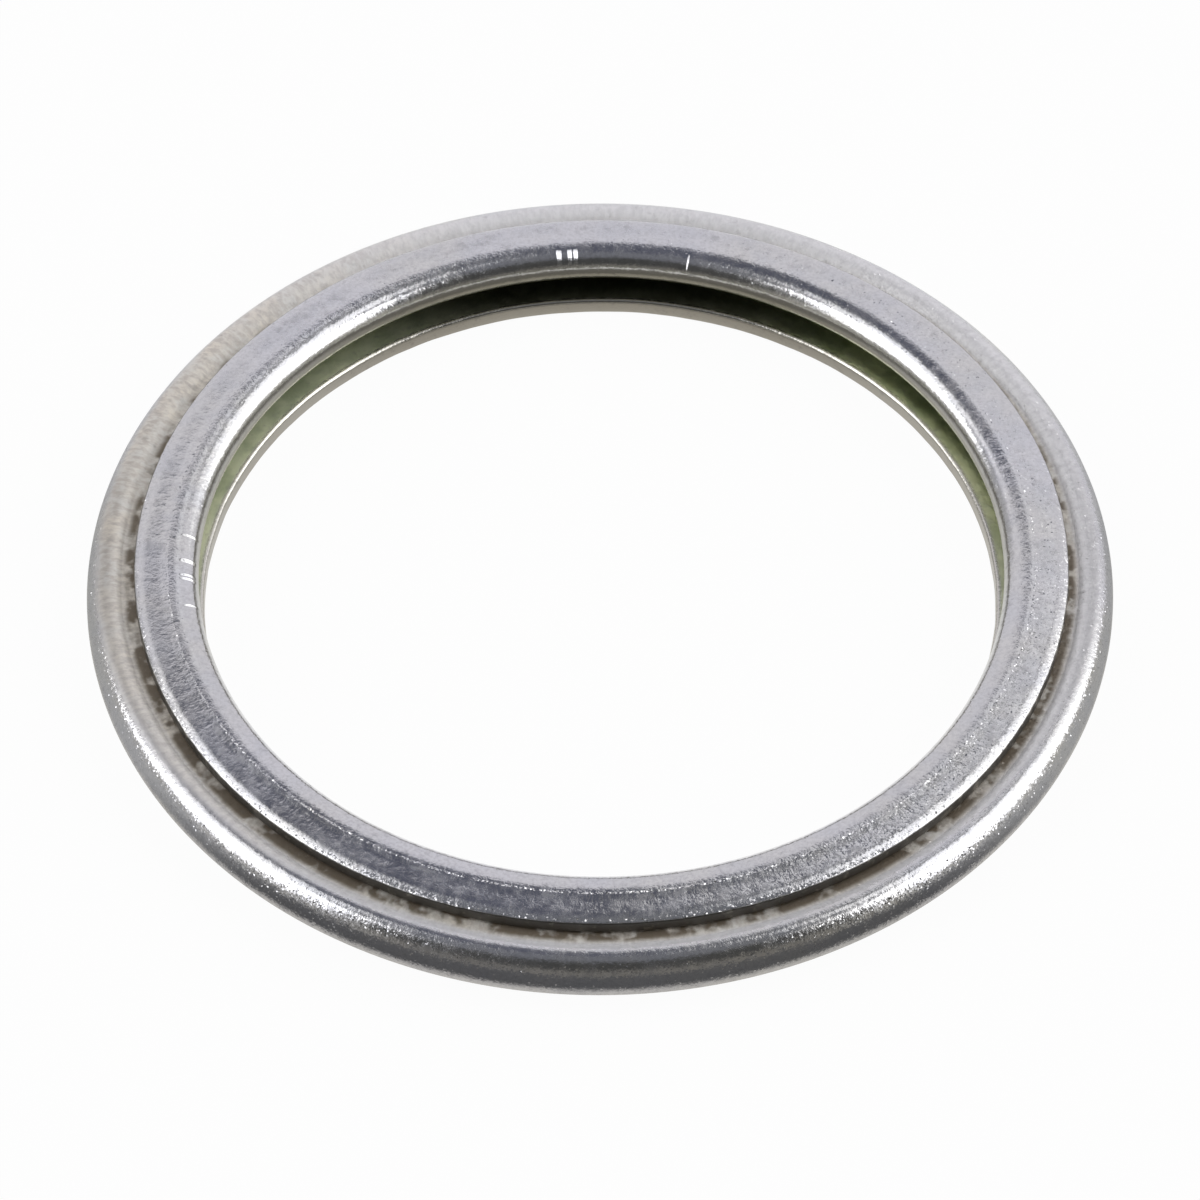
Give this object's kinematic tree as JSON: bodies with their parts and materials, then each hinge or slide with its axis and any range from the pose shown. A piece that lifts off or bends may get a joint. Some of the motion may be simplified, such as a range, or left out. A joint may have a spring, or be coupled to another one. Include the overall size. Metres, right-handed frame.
{
  "type": "folded metal sealing washer",
  "caption": "Flat sealing ring folded from one steel strip, with a rolled outer rim, an inner fold and a groove open to the bore.",
  "frame": {"origin": "centre of the flat face of the bottom layer, on which the ring rests", "axes": "+Z along the bore, from the bottom layer to the pressed cover; X and Y lie in the plane of the ring"},
  "size_m": [0.026, 0.026, 0.0019],
  "materials": {
    "plated_steel": "clear passivated zinc plating, fine grained on the rolled and pressed faces, smooth on the inner fold"
  },
  "bodies": {
    "root": {"folded_ring": "plated_steel"}
  },
  "joints": []
}
